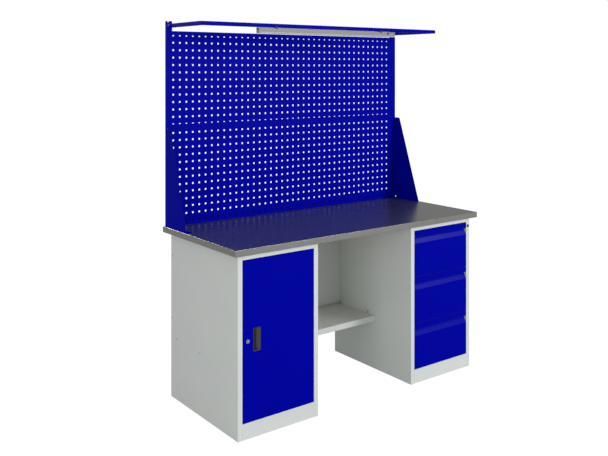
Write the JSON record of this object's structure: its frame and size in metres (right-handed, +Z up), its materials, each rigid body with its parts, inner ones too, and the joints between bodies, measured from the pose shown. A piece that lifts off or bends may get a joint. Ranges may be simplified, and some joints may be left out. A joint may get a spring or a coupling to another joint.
{
  "type": "workbench",
  "caption": "Double-pedestal workbench with a steel-clad top, cupboard, drawers, knee shelf, perforated tool panels and an overhead lamp frame.",
  "frame": {"origin": "On the floor, under the middle of the worktop.", "axes": "+X runs along the bench towards the drawers, +Y to the rear, +Z up. The worker stands at -Y."},
  "size_m": [1.6, 0.7, 1.918],
  "materials": {
    "steel_top": "satin sheet steel",
    "board": "raw board, hidden in the steel tray",
    "grey_paint": "pale grey powder coat, semi-matt",
    "blue_paint": "deep blue powder coat, semi-matt",
    "zinc": "zinc-plated",
    "chrome": "polished",
    "dark_plastic": "moulded, semi-matt",
    "lamp_grey": "warm grey, semi-matt",
    "diffuser": "milky",
    "led_white": "white circuit board"
  },
  "bodies": {
    "bench": {"worktop_cladding": "steel_top", "worktop_board": "board", "cabinet_left_wall": "grey_paint", "cabinet_right_wall": "grey_paint", "cabinet_back": "grey_paint", "cabinet_floor": "grey_paint", "cabinet_top_rail": "grey_paint", "cabinet_plinth": "grey_paint", "cabinet_shelf": "grey_paint", "drawer_unit_left_wall": "grey_paint", "drawer_unit_right_wall": "grey_paint", "drawer_unit_back": "grey_paint", "drawer_unit_top_rail": "grey_paint", "drawer_unit_plinth": "grey_paint", "knee_back_panel": "grey_paint", "knee_shelf": "grey_paint", "post_left": "blue_paint", "post_right": "blue_paint", "gusset_left": "blue_paint", "gusset_right": "blue_paint", "perforated_panel_lower": "blue_paint", "perforated_panel_upper": "blue_paint", "overhead_frame": "blue_paint", "frame_bolt_left": "blue_paint", "frame_bolt_right": "blue_paint", "hinge_pin_upper": "zinc", "hinge_pin_lower": "zinc", "drawer_1_left_rail": "zinc", "drawer_1_right_rail": "zinc", "drawer_2_left_rail": "zinc", "drawer_2_right_rail": "zinc", "drawer_3_left_rail": "zinc", "drawer_3_right_rail": "zinc", "lamp_clip_left": "dark_plastic", "lamp_clip_right": "dark_plastic", "lamp_body": "lamp_grey", "lamp_diffuser": "diffuser", "lamp_led_board": "led_white"},
    "cabinet_door": {"cabinet_door": "blue_paint", "cabinet_door_handle": "dark_plastic", "cabinet_lock_housing": "chrome"},
    "cabinet_lock": {"cabinet_lock_core": "chrome", "cabinet_lock_cam": "zinc"},
    "drawer_lock": {"drawer_lock_core": "dark_plastic"},
    "drawer_lock_bar": {"drawer_lock_bar": "zinc"},
    "lamp_switch": {"lamp_switch": "dark_plastic"},
    "drawer_1": {"drawer_1_front": "blue_paint", "drawer_1_box": "grey_paint"},
    "drawer_1_slides": {"drawer_1_left_middle": "zinc", "drawer_1_right_middle": "zinc"},
    "drawer_2": {"drawer_2_front": "blue_paint", "drawer_2_box": "grey_paint"},
    "drawer_2_slides": {"drawer_2_left_middle": "zinc", "drawer_2_right_middle": "zinc"},
    "drawer_3": {"drawer_3_front": "blue_paint", "drawer_3_box": "grey_paint"},
    "drawer_3_slides": {"drawer_3_left_middle": "zinc", "drawer_3_right_middle": "zinc"}
  },
  "joints": [
    {"name": "cabinet_door_hinge", "type": "hinge", "parent": "bench", "child": "cabinet_door", "pos_m": [-0.3485, -0.3145, 0.073], "axis": [0, 0, 1], "range_deg": [0, 110]},
    {"name": "cabinet_lock_turn", "type": "hinge", "parent": "cabinet_door", "child": "cabinet_lock", "pos_m": [-0.7155, -0.32, 0.4415], "axis": [0, 1, 0], "range_deg": [0, 90]},
    {"name": "drawer_1_slide", "type": "slide", "parent": "bench", "child": "drawer_1", "axis": [0, -1, 0], "range_m": [0, 0.45]},
    {"name": "drawer_1_middle_slide", "type": "slide", "parent": "bench", "child": "drawer_1_slides", "axis": [0, -1, 0], "range_m": [0, 0.225]},
    {"name": "drawer_2_slide", "type": "slide", "parent": "bench", "child": "drawer_2", "axis": [0, -1, 0], "range_m": [0, 0.45]},
    {"name": "drawer_2_middle_slide", "type": "slide", "parent": "bench", "child": "drawer_2_slides", "axis": [0, -1, 0], "range_m": [0, 0.225]},
    {"name": "drawer_3_slide", "type": "slide", "parent": "bench", "child": "drawer_3", "axis": [0, -1, 0], "range_m": [0, 0.45]},
    {"name": "drawer_3_middle_slide", "type": "slide", "parent": "bench", "child": "drawer_3_slides", "axis": [0, -1, 0], "range_m": [0, 0.225]},
    {"name": "drawer_lock_turn", "type": "hinge", "parent": "bench", "child": "drawer_lock", "pos_m": [0.7565, -0.32, 0.7902], "axis": [0, -1, 0], "range_deg": [0, 90]},
    {"name": "drawer_lock_bar_lift", "type": "slide", "parent": "bench", "child": "drawer_lock_bar", "axis": [0, 0, 1], "range_m": [0, 0.00707]},
    {"name": "lamp_switch_press", "type": "slide", "parent": "bench", "child": "lamp_switch", "axis": [0, 1, 0], "range_m": [0, 0.0015], "stiffness_N_per_m": 300}
  ],
  "couplings": [
    {"joint": "drawer_1_middle_slide", "follows": "drawer_1_slide", "ratio": 0.5},
    {"joint": "drawer_2_middle_slide", "follows": "drawer_2_slide", "ratio": 0.5},
    {"joint": "drawer_3_middle_slide", "follows": "drawer_3_slide", "ratio": 0.5},
    {"joint": "drawer_lock_turn", "follows": "drawer_lock_bar_lift", "rad_per_m": 222.1}
  ]
}
